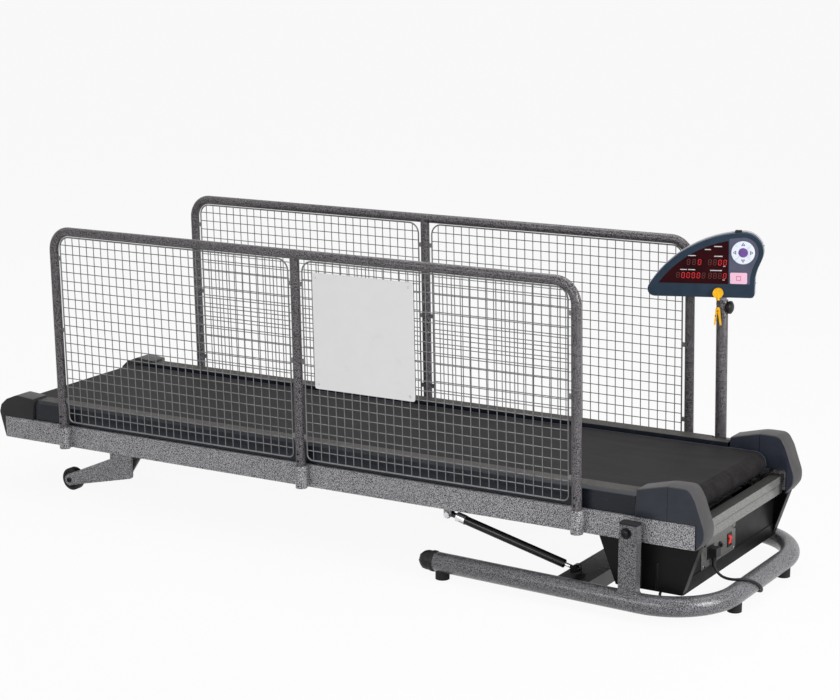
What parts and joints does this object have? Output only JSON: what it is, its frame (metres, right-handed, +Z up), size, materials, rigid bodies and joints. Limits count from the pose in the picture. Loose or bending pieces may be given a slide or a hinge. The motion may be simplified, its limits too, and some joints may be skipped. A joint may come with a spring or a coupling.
{
  "type": "dog treadmill",
  "caption": "Motorised running deck for dogs with mesh side panels, front console, motor bay, tilting tube base, gas strut and wheeled rear legs.",
  "frame": {"origin": "on the floor, at the middle of the part's footprint", "axes": "+X towards the front, the way the dog faces; +Y towards the console side; +Z up"},
  "size_m": [2.2538, 0.699, 0.8391],
  "materials": {
    "deck_hammertone": "hammered silver-black enamel",
    "base_hammertone": "coarse hammered silver-vein enamel",
    "black_gloss": "polished moulded",
    "black_plastic": "fine moulded grain",
    "steel": "zinc plated",
    "black_rubber": "matt",
    "running_belt": "fine diamond emboss",
    "board": "black-faced waxed fibreboard",
    "mesh_black": "black powder coat",
    "sign_white": "smooth sheet",
    "slate_blue": "satin moulded",
    "pale_grey": "moulded",
    "display": "tinted window",
    "keypad": "printed film",
    "key_white": "moulded key",
    "key_purple": "moulded key",
    "key_pink": "moulded key",
    "yellow": "moulded",
    "red": "moulded rocker",
    "motor_black": "painted casting",
    "controller": "extruded heat sink"
  },
  "bodies": {
    "base": {"base_tube": "base_hammertone", "base_plugs": "black_plastic", "base_feet": "black_rubber", "uprights": "base_hammertone", "base_crossbar": "mesh_black", "pivot_bolts": "steel", "mains_lead": "black_rubber", "lead_coil": "black_rubber", "mains_plug": "black_plastic"},
    "deck": {"side_rails": "deck_hammertone", "deck_crossmembers": "deck_hammertone", "frame_brackets": "deck_hammertone", "deck_cushions": "black_rubber", "running_board": "board", "running_belt": "running_belt", "foot_rails": "black_gloss", "front_covers": "black_gloss", "rear_caps": "black_gloss", "control_plate": "deck_hammertone", "motor_pan": "black_plastic", "power_fittings": "black_plastic", "drive_motor": "motor_black", "motor_mount": "steel", "motor_controller": "controller", "drive_belt": "black_rubber", "console_post": "deck_hammertone", "deck_bolts": "steel", "lift_motor": "motor_black", "cord_connector": "black_plastic"},
    "front_roller": {"front_roller": "steel"},
    "rear_roller": {"rear_roller": "steel"},
    "motor_shaft": {"motor_pulley": "steel"},
    "strut_cylinder": {"strut_cylinder": "mesh_black"},
    "strut_rod": {"strut_rod": "steel"},
    "rear_legs": {"leg_frame": "deck_hammertone"},
    "near_wheel": {"near_wheel": "black_rubber"},
    "far_wheel": {"far_wheel": "black_rubber"},
    "lift_tube": {"lift_tube": "steel"},
    "near_panel": {"near_panel_frame": "deck_hammertone", "near_mesh": "mesh_black", "sign_plate": "sign_white"},
    "far_panel": {"far_panel_frame": "deck_hammertone", "far_mesh": "mesh_black"},
    "console": {"console_front": "slate_blue", "console_back": "pale_grey", "display_window": "display", "keypad_panel": "keypad"},
    "up_key": {"up_key": "key_white"},
    "down_key": {"down_key": "key_white"},
    "left_key": {"left_key": "key_white"},
    "right_key": {"right_key": "key_white"},
    "select_key": {"select_key": "key_purple"},
    "stop_key": {"stop_key": "key_pink"},
    "clamp_knob": {"clamp_knob": "black_plastic"},
    "safety_key": {"safety_key": "yellow", "lanyard": "black_rubber", "clip_body": "yellow"},
    "clip_jaw": {"clip_jaw": "yellow"},
    "power_switch": {"power_switch": "red"},
    "breaker_button": {"breaker_button": "black_plastic"}
  },
  "joints": [
    {"name": "deck_fold", "type": "hinge", "parent": "base", "child": "deck", "pos_m": [0.89822, 0, 0.213], "axis": [0, 1, 0], "range_deg": [0, 50], "deforming": ["mains_lead"]},
    {"name": "strut_swing", "type": "hinge", "parent": "deck", "child": "strut_cylinder", "pos_m": [0.36644, -0.262, 0.15138], "axis": [0, 1, 0], "range_deg": [-1, 5.46]},
    {"name": "strut_stroke", "type": "slide", "parent": "strut_cylinder", "child": "strut_rod", "axis": [0.9765, 0, -0.2155], "range_m": [-0.002, 0.1867]},
    {"name": "slope_legs", "type": "hinge", "parent": "deck", "child": "rear_legs", "pos_m": [-0.70922, 0, 0.16992], "axis": [0, 1, 0], "range_deg": [0, 20]},
    {"name": "lift_stroke", "type": "slide", "parent": "deck", "child": "lift_tube", "axis": [0.9998, 0, 0.0218], "range_m": [-0.0282, 0.001]},
    {"name": "near_wheel_spin", "type": "hinge", "parent": "rear_legs", "child": "near_wheel", "pos_m": [-0.90226, -0.2415, 0.032], "axis": [0, 1, 0], "continuous": true},
    {"name": "far_wheel_spin", "type": "hinge", "parent": "rear_legs", "child": "far_wheel", "pos_m": [-0.90226, 0.2415, 0.032], "axis": [0, 1, 0], "continuous": true},
    {"name": "front_roller_spin", "type": "hinge", "parent": "deck", "child": "front_roller", "pos_m": [0.97922, 0, 0.25978], "axis": [0, 1, 0], "continuous": true},
    {"name": "rear_roller_spin", "type": "hinge", "parent": "deck", "child": "rear_roller", "pos_m": [-1.0643, 0, 0.21519], "axis": [0, 1, 0], "continuous": true},
    {"name": "motor_spin", "type": "hinge", "parent": "deck", "child": "motor_shaft", "pos_m": [0.89018, 0.2, 0.1228], "axis": [0, 1, 0], "continuous": true},
    {"name": "near_panel_lift", "type": "slide", "parent": "deck", "child": "near_panel", "axis": [-0.0218, 0, 0.9998], "range_m": [0, 0.07]},
    {"name": "far_panel_lift", "type": "slide", "parent": "deck", "child": "far_panel", "axis": [-0.0218, 0, 0.9998], "range_m": [0, 0.07]},
    {"name": "console_swivel", "type": "hinge", "parent": "deck", "child": "console", "pos_m": [0.84824, 0.281, 0.67002], "axis": [-0.0218, 0, 0.9998], "range_deg": [-15, 75]},
    {"name": "clamp_turn", "type": "hinge", "parent": "deck", "child": "clamp_knob", "pos_m": [0.86889, 0.281, 0.64046], "axis": [0.9998, 0, 0.0218], "range_deg": [0, 360]},
    {"name": "up_press", "type": "slide", "parent": "console", "child": "up_key", "axis": [-0.3337, 0.9426, -0.0073], "range_m": [0, 0.0005], "stiffness_N_per_m": 600},
    {"name": "down_press", "type": "slide", "parent": "console", "child": "down_key", "axis": [-0.3337, 0.9426, -0.0073], "range_m": [0, 0.0005], "stiffness_N_per_m": 600},
    {"name": "left_press", "type": "slide", "parent": "console", "child": "left_key", "axis": [-0.3337, 0.9426, -0.0073], "range_m": [0, 0.0005], "stiffness_N_per_m": 600},
    {"name": "right_press", "type": "slide", "parent": "console", "child": "right_key", "axis": [-0.3337, 0.9426, -0.0073], "range_m": [0, 0.0005], "stiffness_N_per_m": 600},
    {"name": "select_press", "type": "slide", "parent": "console", "child": "select_key", "axis": [-0.3337, 0.9426, -0.0073], "range_m": [0, 0.0005], "stiffness_N_per_m": 600},
    {"name": "stop_press", "type": "slide", "parent": "console", "child": "stop_key", "axis": [-0.3337, 0.9426, -0.0073], "range_m": [0, 0.0005], "stiffness_N_per_m": 600},
    {"name": "safety_pull", "type": "slide", "parent": "console", "child": "safety_key", "axis": [0.3337, -0.9426, 0.0073], "range_m": [0, 0.03]},
    {"name": "clip_pinch", "type": "hinge", "parent": "safety_key", "child": "clip_jaw", "pos_m": [0.85263, 0.24517, 0.63681], "axis": [-0.3337, 0.9426, -0.0073], "range_deg": [0, 14], "stiffness_Nm_per_rad": 0.05},
    {"name": "switch_rock", "type": "hinge", "parent": "deck", "child": "power_switch", "pos_m": [1.01409, -0.015, 0.12851], "axis": [0, -1, 0], "range_deg": [0, 18]},
    {"name": "breaker_press", "type": "slide", "parent": "deck", "child": "breaker_button", "axis": [-0.9998, 0, -0.0218], "range_m": [0, 0.004], "stiffness_N_per_m": 400}
  ],
  "couplings": [
    {"joint": "strut_swing", "follows": "deck_fold", "ratio": 0.089113},
    {"joint": "strut_stroke", "follows": "deck_fold", "m_per_rad": 0.21163},
    {"joint": "lift_stroke", "follows": "slope_legs", "m_per_rad": -0.077805},
    {"joint": "rear_roller_spin", "follows": "front_roller_spin", "ratio": 1},
    {"joint": "motor_spin", "follows": "front_roller_spin", "ratio": 2}
  ]
}
